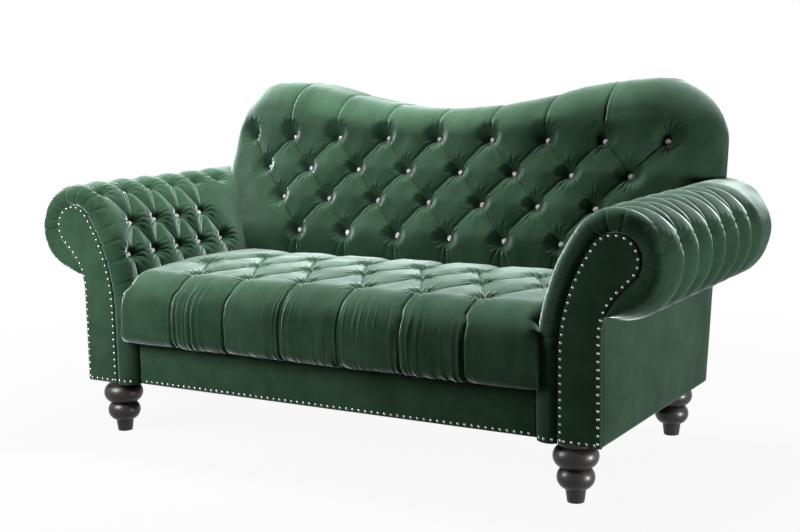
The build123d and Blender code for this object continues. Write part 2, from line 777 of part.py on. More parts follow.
seat_wells = [seat_point(x, y) for y, xs in seat_tufts for x in xs]
seat_funnels = [well(p, up, seat_tuft_depth, seat_tuft_radius, 12.0) for p in seat_wells]
seat_cuts = []
for (ya, front), (yb, rear) in zip(seat_tufts, seat_tufts[1:]):
    for a, b in diagonals(front, rear):
        ends = seat_point(a, ya), seat_point(b, yb)
        seat_cuts.append(groove(*ends, up, seat_pleat_groove, 10.0, start=0.17, end=0.83))
rear_end = back_y(seat_top) + 20
for x in pleat_xs:
    for ya, yb in ((seat_rows[0][0], -60), (seat_rows[-1][0], rear_end)):
        ends = seat_point(x, ya), seat_point(x, yb)
        seat_cuts.append(groove(*ends, up, seat_end_groove, 10.0, start=0.2, end=1.0))
seat_cushion = seat_body - seat_funnels
seat_cushion = seat_cushion - seat_cuts

# Buttons: metal cups with faceted crystals on the back and arms, covered buttons on the seat
cup = Solid.make_cone(button_radius, button_radius - 1, cup_height)


def octagon(radius, z):
    turns = [radians(45 * k + 22.5) for k in range(8)]
    return Wire.make_polygon([Vector(radius * cos(t), radius * sin(t), z) for t in turns])


girdle, table = cup_height + crystal_height * 0.4, cup_height + crystal_height
crystal = Solid.make_loft(
    [octagon(5.6, cup_height), octagon(6.6, girdle), octagon(3.6, table)], ruled=True
)
covered_button = Solid.make_cone(button_radius, button_radius * 0.6, 4.0)


def set_on(shape, p, normal, depth):
    return Plane(p - normal * depth, z_dir=normal).location * shape


back_cups = [set_on(cup, p, back_normal(p.X), back_tuft_depth) for p in back_wells]
back_crystals = [set_on(crystal, p, back_normal(p.X), back_tuft_depth) for p in back_wells]
arm_cups = [set_on(cup, p, n, arm_tuft_depth) for p, n in arm_tufts]
arm_crystals = [set_on(crystal, p, n, arm_tuft_depth) for p, n in arm_tufts]
seat_buttons = [set_on(covered_button, p, up, seat_tuft_depth) for p in seat_wells]

# Apron, dust cover and nailheads
apron_half = arm_inner_x - clearance
apron_y = front_rail_y - apron_thickness
apron = box(-apron_half, apron_half, apron_y, front_rail_y, foot_height, seat_bottom - clearance)
cover_rear = rear_rail_y + rail_thickness - clearance
dust_cover = box(-side_inner, side_inner, front_rail_y + clearance, cover_rear, foot_height, rail_bottom)
dust_cover -= bolt_room

rise = nail_radius**2 / (2 * nail_height) + nail_height / 2
dome = Solid.make_sphere(rise, Plane((0, 0, nail_height - rise)))
nail = dome & Solid.make_cylinder(nail_radius, nail_height)


def nail_at(x, y, z):
    return set_on(nail, Vector(x, y, z), Vector(0, -1, 0), 0)


nail_line = Wire(core_outline(nail_inset, 0, body_half_width))
nail_count = int(nail_line.length / nail_pitch)
lift = nail_inset + 1
arm_nails = []
for k in range(nail_count):
    place = nail_line @ ((k + 0.5) / nail_count)
    arm_nails.append(nail_at(place.X, 0, max(place.Z, foot_height + lift)))
apron_count = int(2 * (apron_half - nail_inset) / nail_pitch)
apron_nails = [
    nail_at((i - (apron_count - 1) / 2) * nail_pitch, apron_y, foot_height + lift)
    for i in range(apron_count)
]


# Turned feet
def on_foot(radius, part):
    """A point of the foot's profile at this part of its height."""
    return Vector(radius, 0, part * foot_height)


foot_profile = [
    seg(on_foot(0, 0), on_foot(19.5, 0)),
    seg(on_foot(19.5, 0), on_foot(23.5, 0.215)),
    Edge.make_three_point_arc(on_foot(23.5, 0.215), on_foot(43, 0.393), on_foot(32, 0.564)),
    Edge.make_three_point_arc(on_foot(32, 0.564), on_foot(52, 0.757), on_foot(37, 0.929)),
    seg(on_foot(37, 0.929), on_foot(37, 1)),
    seg(on_foot(37, 1), on_foot(0, 1)),
    seg(on_foot(0, 1), on_foot(0, 0)),
]
foot = Solid.revolve(Face(Wire(foot_profile)), 360, Axis.Z)
feet = [Pos(x, y, 0) * foot - bolt_room for x, y in foot_places]

nodes = {
    "front_rail": front_rail,
    "rear_rail": rear_rail,
    "centre_stretcher": stretcher,
    "corner_blocks": group(blocks),
    "corner_screws": group(both(s for y, turn in corners for s in block_screws(y, turn))),
    "frame_dowels": group(dowel(*place) for place in all_dowels),
    "seat_springs": group(springs),
    "spring_clips": group(clips),
    "spring_cover": felt,
    "seat_cushion": seat_cushion,
    "seat_buttons": group(seat_buttons),
    "apron": apron,
    "apron_nailheads": group(apron_nails),
    "dust_cover": dust_cover,
    "back_pad": back_pad,
    "back_button_cups": group(back_cups),
    "back_crystals": group(back_crystals),
    "back_top_rail": back_top_rail,
    "back_bottom_rail": back_bottom_rail,
    "back_rear_rail": back_rear_rail,
    "back_webbing": group(straps),
    "outside_back": outside_back,
    "foot_front_left": feet[0],
    "foot_front_right": feet[1],
    "foot_rear_left": feet[2],
    "foot_rear_right": feet[3],
    "foot_bolts": group(bolts),
    "foot_inserts": group(inserts),
}
paired = {
    "side_rail": side_rail,
    "seat_rail": seat_rail,
    "back_upright": inner_upright,
    "back_post": outer_upright,
    "arm_front_board": arm_front_board,
    "arm_rear_board": arm_rear_board_solid,
    "arm_top_rail": arm_top_rail,
    "arm_inner_rail": arm_inner_rail,
    "arm_outer_rail": arm_outer_rail,
    "arm_liner": arm_liner,
    "arm_pad": arm_pad,
    "arm_facing": arm_facing,
    "outside_arm": outside_arm,
    "arm_nailheads": group(arm_nails),
    "arm_button_cups": group(arm_cups),
    "arm_crystals": group(arm_crystals),
}
for name, shape in paired.items():
    nodes[name + "_right"] = shape
    nodes[name + "_left"] = flip(shape)

rear_most = back_pad.bounding_box().max.Y
to_frame = Pos(0, (seat_overhang - rear_most) / 2, 0)
os.makedirs("parts", exist_ok=True)
for name, shape in nodes.items():
    export_step(to_frame * shape, f"parts/{name}.step")
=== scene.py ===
"""Looks of the tufted loveseat: velvet upholstery, crystals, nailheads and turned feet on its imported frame.

Sizes are millimetres from the front of the arm facings, as in the part's source, and become metres in
the shared frame when a mesh is made. The floor, the lamps and the camera are in metres.
"""

import json
from math import acos, atan, ceil, cos, degrees, pi, radians, sin, sqrt, tan

import bmesh
import bpy
import numpy as np
from mathutils import Matrix, Vector


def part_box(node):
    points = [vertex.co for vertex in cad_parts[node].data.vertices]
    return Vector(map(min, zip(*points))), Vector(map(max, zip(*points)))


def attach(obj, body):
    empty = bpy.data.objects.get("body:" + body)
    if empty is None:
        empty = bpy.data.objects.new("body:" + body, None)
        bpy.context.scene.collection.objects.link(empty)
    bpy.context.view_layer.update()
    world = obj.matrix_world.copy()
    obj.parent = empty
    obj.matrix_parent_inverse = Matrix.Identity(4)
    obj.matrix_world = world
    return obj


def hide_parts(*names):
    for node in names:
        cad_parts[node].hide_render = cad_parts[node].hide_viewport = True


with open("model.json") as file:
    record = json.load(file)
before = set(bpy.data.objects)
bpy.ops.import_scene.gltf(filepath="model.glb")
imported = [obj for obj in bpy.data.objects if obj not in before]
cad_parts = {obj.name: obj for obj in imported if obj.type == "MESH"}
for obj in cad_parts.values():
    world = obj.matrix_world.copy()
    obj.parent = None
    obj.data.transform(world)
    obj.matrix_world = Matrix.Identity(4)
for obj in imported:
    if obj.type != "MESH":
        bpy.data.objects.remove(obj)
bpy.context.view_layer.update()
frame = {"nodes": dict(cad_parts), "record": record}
scene = bpy.context.scene
facing_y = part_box("arm_facing_right")[0].y * 1000

# Sizes shared with the part
foot_height, overall_height = 140.0, 920.0
lean, body_depth = radians(10.1), 719.0
recline, back_at_floor = radians(21.2), 305.0
back_half, corner_radius, back_dip, inflection_x = 764.0, 172.0, 81.0, 366.0
back_sweep, sweep_start = 88.0, 412.0
front_round, rear_round, back_rim = 75.0, 40.0, 55.0
hump_x = back_half - corner_radius
arm_x, arm_curve_start, roll_x, roll_z, roll_radius = 580.0, 320.0, 774.0, 545.0, 122.0
arm_front, arm_round, arm_rear_round, outside_x = -6.0, 38.0, 74.0, 740.0
core_x, core_start, head_x, head_z, head_radius, neck_radius = 638.0, 330.0, 768.0, 554.0, 60.0, 140.0
seat_overhang, seat_bottom, seat_height, seat_crown, seat_round = 30.0, 257.0, 440.0, 9.0, 105.0
apron_y = 26.0
roll_end = -degrees(acos((outside_x + 2 - roll_x) / roll_radius))

# Tufts
pitch, arm_pitch, arm_start = 163.5, 98.0, 57.0
back_rows = [(776.0, 4.0), (689.0, 3.5), (607.0, 3.0), (517.0, 2.5)]
seat_rows = [(92.0, 2.5), (237.0, 3.0), (382.0, 2.5)]
arm_rows, high_row_angle, outer_row_angle = (488.0, 569.0), 119.0, 24.0
back_depth, seat_depth, arm_depth, outer_depth = 38.0, 24.0, 26.0, 17.0
fullness, full_above = 3.0, 8.0
field_settle, field_half, field_fade, foot_tuck, tuck_height = 8.0, 725.0, 90.0, 30.0, 95.0
spacing = 2.6
nail_radius, nail_height, nail_pitch, nail_inset = 3.7, 2.4, 18.0, 7.0


def rear_y(z, depth=0.0):
    return body_depth + tan(lean) * (z - foot_height) - depth / cos(lean)


def smooth(t):
    """A rise from 0 to 1 that is level at both ends."""
    return t * t * (3 - 2 * t)


def noise(a, b, seed):
    """Smooth random values between -1 and 1 over a plane."""
    table = np.random.default_rng(seed).uniform(-1, 1, (64, 64))
    i, j = np.floor(a).astype(int), np.floor(b).astype(int)
    s, t = a - i, b - j
    s, t = smooth(s), smooth(t)

    def pick(di, dj):
        return table[(i + di) % 64, (j + dj) % 64]

    low = pick(0, 0) * (1 - s) + pick(1, 0) * s
    return low * (1 - t) + (pick(0, 1) * (1 - s) + pick(1, 1) * s) * t


def normals(grid):
    """Unit normals of a grid of places, by central differences."""
    n = np.cross(np.gradient(grid, axis=0), np.gradient(grid, axis=1))
    return n / np.maximum(np.linalg.norm(n, axis=-1, keepdims=True), 1e-9)


def side_normals(run):
    """Unit normals on the left of a run of places in a plane."""
    ahead = np.gradient(run, axis=0)
    out = np.stack([-ahead[:, 1], ahead[:, 0]], -1)
    return out / np.linalg.norm(out, axis=1, keepdims=True)


def fullness_at(sunk):
    """How far the fabric stands out where no tuft draws it in."""
    return fullness * np.clip(1 - sunk / full_above, 0, 1)


class Tufting:
    """Buttons and pleats on a flat piece of fabric, and how far they draw it in."""

    well_radius, fold_width, lip_width, lip_height = 7.0, 6.0, 3.2, 0.1
    gather_height, gather_at, gather_width, gather_wander = 3.8, 26.0, 18.0, 1.8

    def __init__(self, depth, reach, seed, round_about=0.15):
        self.depth, self.reach, self.seed, self.round_about = depth, reach, seed, round_about
        self.buttons, self.pleats = [], []

    def button(self, a, b, depth=None):
        self.buttons.append((a, b, depth or self.depth))

    def pleat(self, p, q, shallow, width, fold=4.0):
        """A pleat from p to q: a soft valley of this depth and half width, its fold lapping one side."""
        self.pleats.append((p, q, shallow, width, fold))

    def at(self, a, b):
        """How far the fabric lies below its full height at these places."""
        total, folds = np.zeros_like(a), np.zeros_like(a)
        for (pa, pb), (qa, qb), shallow, width, fold in self.pleats:
            da, db = qa - pa, qb - pb
            length = np.hypot(da, db)
            t = np.clip(((a - pa) * da + (b - pb) * db) / length**2, 0, 1)
            gap = np.hypot(a - pa - t * da, b - pb - t * db)
            total += (shallow * np.clip(1 - gap / width, 0, 1) ** 1.7) ** 4
            over = ((a - pa) * db - (b - pb) * da) * (1 if da >= 0 else -1) > 0
            under = fold * np.clip(1 - gap / self.fold_width, 0, 1) ** 1.3
            raised = self.lip_height * fold * np.exp(-(((gap - self.fold_width) / 3.5) ** 2))
            lip = fold * np.clip(1 - gap / self.lip_width, 0, 1) - raised
            crease = np.where(over, lip, under)
            folds = np.where(np.abs(crease) > np.abs(folds), crease, folds)
        rng = np.random.default_rng(self.seed)
        for ca, cb, depth in self.buttons:
            r, turn = np.hypot(a - ca, b - cb), np.arctan2(b - cb, a - ca)
            total += (depth * np.clip(1 - (r - self.well_radius) / self.reach, 0, 1) ** 2.4) ** 4
            count, phase = rng.integers(13, 19), rng.uniform(0, 2 * pi)
            ring = np.exp(-(((r - self.gather_at) / self.gather_width) ** 2))
            fade = ring * (self.round_about + np.sin(turn) ** 2)
            wander = self.gather_wander * noise(r / 16, turn, self.seed + 7)
            wave = np.cos(count * turn + phase + wander)
            folds += self.gather_height * depth / self.depth * fade * (np.clip(wave, 0, 1) ** 2 - 0.25)
        sunk = np.minimum(total ** 0.25, self.depth)
        return sunk + folds * np.clip(1.3 - sunk / self.depth, 0, 1)


def lattice(rows):
    """Heights and button places of rows given by their height and how many pitches they reach."""
    return [(v, [(i - reach) * pitch for i in range(int(2 * reach) + 1)]) for v, reach in rows]


def mesh_object(name, points, faces, material):
    """A smooth mesh piece at these places (mm), riding on the sofa."""
    mesh = bpy.data.meshes.new(name)
    moved = (np.asarray(points) + (0, facing_y, 0)) * 0.001
    mesh.from_pydata(moved.tolist(), [], faces)
    mesh.polygons.foreach_set("use_smooth", [True] * len(mesh.polygons))
    mesh.materials.append(material)
    mesh.update()
    obj = bpy.data.objects.new(name, mesh)
    scene.collection.objects.link(obj)
    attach(obj, "root")
    return obj


def weld(obj, distance=0.0002):
    """Join places closer than this distance (m), and turn all faces outwards."""
    bm = bmesh.new()
    bm.from_mesh(obj.data)
    bmesh.ops.remove_doubles(bm, verts=bm.verts, dist=distance)
    bmesh.ops.recalc_face_normals(bm, faces=bm.faces)
    bm.to_mesh(obj.data)
    bm.free()


def nailheads(name, places):
    """Domed nailheads at these places and outward directions, as one piece."""
    rise = nail_radius**2 / (2 * nail_height) + nail_height / 2
    turns = np.linspace(0, 2 * pi, 25)
    rings = nail_radius * np.array([1.0, 0.85, 0.65, 0.4, 0.15, 0.0])
    points, faces = [], []
    for place, out in places:
        u = np.cross(out, (0, 0, 1.0))
        u /= np.linalg.norm(u)
        v = np.cross(out, u)
        first = len(points)
        for r in rings:
            high = sqrt(rise**2 - r**2) - rise + nail_height
            points += [place + out * high + r * (cos(t) * u + sin(t) * v) for t in turns]
        faces += quads(len(rings), len(turns), first)
    obj = mesh_object(name, np.array(points), faces, finishes["nail_metal"])
    weld(obj, 0.00001)
    return obj


def quads(rows, columns, first=0, turned=False):
    """Faces of a grid of points that starts at this index."""
    index = np.arange(rows * columns).reshape(rows, columns) + first
    ring = [index[:-1, :-1], index[1:, :-1], index[1:, 1:], index[:-1, 1:]]
    if turned:
        ring.reverse()
    return np.stack(ring, -1).reshape(-1, 4).tolist()


def arc(centre, radius, start, end, count):
    turns = np.radians(np.linspace(start, end, count))
    return np.stack([centre[0] + radius * np.cos(turns), centre[1] + radius * np.sin(turns)], -1)


def line(p, q, count):
    return np.linspace(p, q, count)


def joined(parts):
    """One run of places from several, each after the first without its first place."""
    return np.concatenate([parts[0]] + [p[1:] for p in parts[1:]])


def along(run):
    """Length along a run of places, from its start."""
    steps = np.linalg.norm(np.diff(run, axis=0), axis=1)
    return np.concatenate([[0], np.cumsum(steps)])


def resampled(run, count):
    """A run of places at even steps."""
    s = along(run)
    t = np.linspace(0, s[-1], count)
    return np.stack([np.interp(t, s, run[:, k]) for k in range(run.shape[1])], -1)


# Materials
class Nodes:
    """A material's node tree, with short ways to add nodes and links."""

    def __init__(self, name):
        self.material = bpy.data.materials.new(name)
        self.material.use_nodes = True
        self.tree = self.material.node_tree
        self.shader = self.tree.nodes["Principled BSDF"]
        self.place = self.add("ShaderNodeTexCoord").outputs["Object"]

    def add(self, kind, **values):
        node = self.tree.nodes.new(kind)
        for key, value in values.items():
            socket = node.inputs.get(key.replace("_", " ").title())
            if socket is None:
                setattr(node, key, value)
            elif hasattr(value, "is_output"):
                self.tree.links.new(value, socket)
            else:
                socket.default_value = value
        return node

    def noise(self, scale, detail=4.0, roughness=0.6, stretch=None):
        place = self.place
        if stretch:
            place = self.add("ShaderNodeMapping", vector=place, scale=stretch).outputs[0]
        return self.add("ShaderNodeTexNoise", vector=place, scale=scale, detail=detail,
                        roughness=roughness).outputs["Fac"]

    def ramp(self, fac, *stops):
        node = self.add("ShaderNodeValToRGB", fac=fac)
        for k, (at, colour) in enumerate(stops):
            stop = node.color_ramp.elements[k] if k < 2 else node.color_ramp.elements.new(at)
            stop.position, stop.color = at, (*colour, 1)
        return node.outputs["Color"]

    def mix(self, fac, a, b):
        node = self.add("ShaderNodeMix", data_type="RGBA")
        for socket, value in ((node.inputs[0], fac), (node.inputs[6], a), (node.inputs[7], b)):
            if hasattr(value, "is_output"):
                self.tree.links.new(value, socket)
            else:
                socket.default_value = value if isinstance(value, float) else (*value, 1)
        return node.outputs[2]

    def bump(self, height, distance, strength=1.0, below=None):
        node = self.add("ShaderNodeBump", height=height, distance=distance, strength=strength)
        if below:
            self.tree.links.new(below, node.inputs["Normal"])
        return node.outputs[0]

    def span(self, fac, low, high):
        return self.add("ShaderNodeMapRange", value=fac, to_min=low, to_max=high).outputs[0]

    def finish(self, **values):
        for key, value in values.items():
            socket = self.shader.inputs[key.replace("_", " ").title().replace("Ior", "IOR")]
            if hasattr(value, "is_output"):
                self.tree.links.new(value, socket)
            else:
                socket.default_value = value
        return self.material


def velvet(name, sheen):
    """Green velvet with brushed patches of nap and a fine pile."""
    n = Nodes(name)
    patches = n.noise(6, 6, 0.68)
    brushed = n.noise(60, 3, 0.6, (1, 1, 0.35))
    nap = n.ramp(patches, (0.34, (0.007, 0.018, 0.009)), (0.66, (0.018, 0.039, 0.023)))
    colour = n.mix(n.span(brushed, 0.0, 0.3), nap, (0.023, 0.047, 0.028))
    pile = n.noise(1600, 2, 0.5)
    relief = n.bump(pile, 0.0006, 0.35)
    relief = n.bump(brushed, 0.0012, 0.35, relief)
    return n.finish(
        base_color=colour, roughness=n.span(patches, 0.62, 0.78), normal=relief,
        specular_ior_level=0.0, sheen_weight=sheen, sheen_roughness=0.30,
        sheen_tint=(0.78, 0.92, 0.90, 1),
    )


def lacquer():
    n = Nodes("foot_lacquer")
    brushed = n.noise(40, 4, 0.6, (1, 1, 0.2))
    worn = n.ramp(brushed, (0.35, (0.004, 0.003, 0.003)), (0.75, (0.010, 0.008, 0.007)))
    return n.finish(
        base_color=worn, roughness=n.span(brushed, 0.34, 0.48), normal=n.bump(n.noise(300), 0.0003, 0.2),
        specular_ior_level=0.3, coat_weight=0.12, coat_roughness=0.2,
    )


def metal(name, colour, low, high):
    """A metal with grime in patches, its roughness between low and high."""
    n = Nodes(name)
    grime = n.noise(220, 4, 0.6)
    dark = tuple(0.75 * c for c in colour)
    return n.finish(
        base_color=n.ramp(grime, (0.3, dark), (0.6, colour)), roughness=n.span(grime, low, high),
        metallic=1.0, normal=n.bump(grime, 0.0002, 0.2),
    )


def crystal():
    n = Nodes("crystal")
    cloud = n.noise(500, 2)
    return n.finish(
        base_color=n.ramp(cloud, (0.3, (0.90, 0.93, 0.95)), (0.7, (1.0, 1.0, 1.0))),
        roughness=n.span(cloud, 0.0, 0.05), transmission_weight=0.75, ior=1.62, specular_ior_level=0.8,
    )


def timber():
    n = Nodes("frame_timber")
    grain = n.noise(14, 8, 0.65, (1, 6, 6))
    fine = n.noise(160, 4, 0.6, (0.1, 1, 1))
    wood = n.ramp(grain, (0.3, (0.42, 0.27, 0.15)), (0.7, (0.60, 0.43, 0.27)))
    return n.finish(
        base_color=n.mix(n.span(fine, 0.0, 0.4), wood, (0.34, 0.21, 0.12)),
        roughness=n.span(fine, 0.55, 0.7), normal=n.bump(fine, 0.0004, 0.4),
    )


def woven(name, dark, light, scale, stretch=(1, 1, 1)):
    """A cloth or felt with crossed threads and mottled colour."""
    n = Nodes(name)
    threads = n.noise(scale, 2, 0.5, stretch)
    mottle = n.noise(25, 4, 0.6)
    colour = n.mix(n.span(threads, 0.2, 0.8), n.ramp(mottle, (0.3, dark), (0.7, light)), dark)
    return n.finish(
        base_color=colour, roughness=n.span(mottle, 0.8, 0.95), normal=n.bump(threads, 0.0005, 0.5),
    )


green = velvet("emerald_velvet", 1.0)
plain_green = velvet("emerald_velvet_plain", 0.4)
finishes = {
    "velvet": green,
    "foot_lacquer": lacquer(),
    "nail_metal": metal("nail_metal", (0.26, 0.26, 0.25), 0.14, 0.24),
    "button_metal": metal("button_metal", (0.34, 0.34, 0.34), 0.15, 0.26),
    "crystal": crystal(),
    "frame_timber": timber(),
    "liner_board": woven("liner_board", (0.30, 0.22, 0.14), (0.42, 0.32, 0.21), 260),
    "spring_steel": metal("spring_steel", (0.32, 0.32, 0.34), 0.35, 0.5),
    "zinc_steel": metal("zinc_steel", (0.62, 0.63, 0.64), 0.3, 0.42),
    "felt": woven("felt", (0.42, 0.41, 0.39), (0.62, 0.60, 0.56), 420),
    "webbing": woven("webbing", (0.40, 0.31, 0.20), (0.62, 0.52, 0.36), 500, (1, 1, 3)),
    "dust_cloth": woven("dust_cloth", (0.012, 0.012, 0.013), (0.028, 0.028, 0.030), 700),
}


# Back
drop = 2 * atan(back_dip / hump_x)
dip_radius = inflection_x / sin(drop)
hump_radius = (hump_x - inflection_x) / sin(drop)


def back_sides(inset, low, tilt, counts):
    """Left, top and right edge of the double-hump outline in a leaning plane, parted in its corners."""
    n_side, n_corner, n_hump, n_dip = counts
    top, foot, turn = overall_height / cos(tilt), low / cos(tilt), degrees(drop)
    width, corner_w = back_half - inset, top - corner_radius
    corner = (hump_x, corner_w)
    side = line((width, foot), (width, corner_w), n_side)
    lower = arc(corner, corner_radius - inset, 0, 45, n_corner)
    upper = arc(corner, corner_radius - inset, 45, 90, n_corner)
    hump = arc((hump_x, top - hump_radius), hump_radius - inset, 90, 90 + turn, n_hump)
    dip = arc((0, top - back_dip + dip_radius), dip_radius + inset, 270 + turn, 270 - turn, n_dip)
    right = joined([side, lower])
    half = joined([upper, hump])
    mirror = half[::-1] * (-1, 1)
    over = joined([half, dip, mirror])
    return right * (-1, 1), over[::-1], right


def coons(left, top, right):
    """A grid of places between the left, top and right edges and a straight lower edge."""
    u = np.linspace(0, 1, len(top))[None, :, None]
    v = np.linspace(0, 1, len(left))[:, None, None]
    bottom = line(left[0], right[0], len(top))
    flat = (1 - v) * bottom + v * top + (1 - u) * left[:, None] + u * right[:, None]
    lower_corners = (1 - u) * (1 - v) * left[0] + u * (1 - v) * right[0]
    corners = lower_corners + (1 - u) * v * left[-1] + u * v * right[-1]
    return flat - corners


def swept(x):
    """How far the front of the back curves rearwards at x."""
    return back_sweep * (np.clip(np.abs(x) - sweep_start, 0, None) / (back_half - sweep_start)) ** 2


def in_front_plane(flat, depth):
    x, w = flat[..., 0], flat[..., 1]
    y = back_at_floor + depth / cos(recline) + w * sin(recline) + swept(x)
    return np.stack([x, y, w * cos(recline)], -1)


def front_normals(flat):
    x = flat[..., 0]
    slope = np.sign(x) * (swept(np.abs(x) + 1) - swept(x))
    n = np.stack([slope, np.full(x.shape, -1.0), np.full(x.shape, tan(recline))], -1)
    return n / np.linalg.norm(n, axis=-1, keepdims=True)


def in_rear_plane(flat, depth):
    x, w = flat[..., 0], flat[..., 1]
    return np.stack([x, rear_y(0, depth) + w * sin(lean), w * cos(lean)], -1)


def back_tufting():
    """The back's buttons, the diamonds between them, and the pleats above and below."""
    t = Tufting(back_depth, 48, 11)
    diagonal, upright, hanging = (8, 56, 6), (2.0, 26, 4), (7, 54, 5)
    above_rim, below_seat, slant_drop = 1100, 300, 110
    rows = [(z / cos(recline), xs) for z, xs in lattice(back_rows)]
    for w, xs in rows:
        for x in xs:
            t.button(x, w)
    for (wa, upper), (wb, lower) in zip(rows, rows[1:]):
        for a in upper:
            for b in lower:
                if abs(a - b) < pitch:
                    t.pleat((a, wa), (b, wb), *diagonal)
    for x in rows[0][1][1:-1]:
        t.pleat((x, rows[0][0]), (x, above_rim), *upright)
    # Below the last row a fold hangs straight down to the seat, with a slanting one on each side of it
    rng = np.random.default_rng(23)
    last = rows[-1][0]
    for x in rows[-1][1]:
        t.pleat((x, last), (x, below_seat), *hanging)
        for side in (-1, 1):
            slant = rng.uniform(24, 52)
            t.pleat((x, last), (x + side * slant, last - slant_drop), 2, 20, rng.uniform(1.5, 4.5))
    return t


def drawn(t, flat):
    """How far the back's fabric lies in: its tufts, its field below the rim, and its foot tucked in."""
    x, w = flat[..., 0], flat[..., 1]
    top, low = back_rows[0][0] / cos(recline), back_rows[-1][0] / cos(recline)
    below_top = np.clip((top + 60 - w) / field_fade, 0, 1)
    field = smooth(below_top * np.clip((field_half - np.abs(x)) / field_fade, 0, 1))
    sunk = t.at(x, w)
    settled = field_settle * field * (1 - np.clip(sunk / back_depth, 0, 1))
    tucked = foot_tuck * np.clip((low + 10 - w) / tuck_height, 0, 1) ** 1.7
    return sunk - fullness_at(sunk) + settled + tucked + 1.2 * noise(x / 45, w / 60, 3)


def shoulder(x, z, centre_x, centre_z, radius):
    """Radius and turn (degrees) of the arc from a vertical line's end at x, z into a round head."""
    a, b = x - centre_x, z - centre_z
    curve = (radius**2 - a**2 - b**2) / (2 * (a + radius))
    return curve, degrees(atan((centre_z - z) / (x + curve - centre_x)))


def arm_profile(count):
    """The right arm's padded outline from the seat up over the roll to its underside, and its normals."""
    curve, tilt = shoulder(arm_x, arm_curve_start, roll_x, roll_z, roll_radius)
    run = joined([
        line((arm_x, foot_height), (arm_x, arm_curve_start), 40),
        arc((arm_x + curve, arm_curve_start), curve, 180, 180 - tilt, 200),
        arc((roll_x, roll_z), roll_radius, 180 - tilt, roll_end, 400),
    ])
    run = resampled(run, count)
    return run, side_normals(run)


def inside_arm(points):
    """How far places lie inside the outline of an arm (mm)."""
    x, z = np.abs(points[..., 0]), points[..., 2]
    run, out = arm_profile(400)
    gap = np.full(x.shape, 1e9)
    depth = np.zeros(x.shape)
    for (px, pz), (nx, nz) in zip(run, out):
        d = np.hypot(x - px, z - pz)
        near = d < gap
        gap = np.where(near, d, gap)
        depth = np.where(near, -((x - px) * nx + (z - pz) * nz), depth)
    return depth


def kept(points, faces, hidden):
    """Points and faces without the hidden points."""
    faces = [f for f in faces if not any(hidden[k] for k in f)]
    used = sorted({k for f in faces for k in f})
    place = {k: i for i, k in enumerate(used)}
    return points[used], [[place[k] for k in f] for f in faces]


def make_back():
    """The back's cover: its tufted front, and a rim over the top and sides to the outside back."""
    counts, low = (180, 40, 110, 260), 250.0
    front_rows, flank_rows, rear_rows = 16, 23, 10
    hidden_inside, side_x, behind_depth = 14.0, 690.0, 22.0
    t = back_tufting()

    flat = coons(*back_sides(front_round, low, recline, counts))
    grid = in_front_plane(flat, 0)
    inner = grid - front_normals(flat) * drawn(t, flat)[..., None]

    def ring(inset, tilt):
        left, top, right = back_sides(inset, low, tilt, counts)
        return joined([left, top, right[::-1]])

    rows, marks, fades = [], [], []

    def row(places, mark, fade):
        rows.append(places)
        marks.append(mark)
        fades.append(fade)

    for angle in np.linspace(0, 90, front_rows):
        turn = radians(angle)
        flat_ring = ring(front_round * (1 - sin(turn)), recline)
        row(in_front_plane(flat_ring, front_round * (1 - cos(turn))), flat_ring, 1.0)
    flank = rows[-1]
    start = in_rear_plane(ring(0, lean), rear_round)
    for k in range(1, flank_rows + 1):
        row(flank + (start - flank) * k / flank_rows, flat_ring, 1 - 0.4 * k / flank_rows)
    for angle in np.linspace(90, 0, rear_rows)[1:]:
        turn = radians(angle)
        rounded = ring(rear_round * (1 - sin(turn)), lean)
        row(in_rear_plane(rounded, rear_round * (1 - cos(turn))), flat_ring, 0.6 * angle / 90)
    for inset, depth in ((46, 0.5), (52, 2.5), (58, 5.0)):
        row(in_rear_plane(ring(inset, lean), depth), flat_ring, 0.0)
    rim, marks = np.stack(rows), np.stack(marks)
    outward = normals(rim)
    if outward[20, rim.shape[1] // 2, 2] < 0:
        outward = -outward
    outward[0] = front_normals(marks[0])
    move = drawn(t, marks)
    across = marks[1:, :, 0]
    row_at = np.broadcast_to(np.arange(1, len(rows))[:, None] / 14, across.shape)
    move[1:] += 0.3 * noise(across / 11, row_at, 5)
    rim = rim - outward * (move * np.array(fades)[:, None])[..., None]

    points = np.concatenate([inner.reshape(-1, 3), rim.reshape(-1, 3)])
    faces = quads(*inner.shape[:2]) + quads(*rim.shape[:2], first=inner.shape[0] * inner.shape[1])
    x, z = np.abs(points[:, 0]), points[:, 2]
    behind = (points[:, 1] > rear_y(z, behind_depth)) & (z > roll_z + 45)
    hidden = ((inside_arm(points) > hidden_inside) & ~behind) | ((x > side_x) & (z < roll_z))
    points, faces = kept(points, faces, hidden)
    obj = mesh_object("back_upholstery", points, faces, green)
    weld(obj)
    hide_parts("back_pad")
    return obj


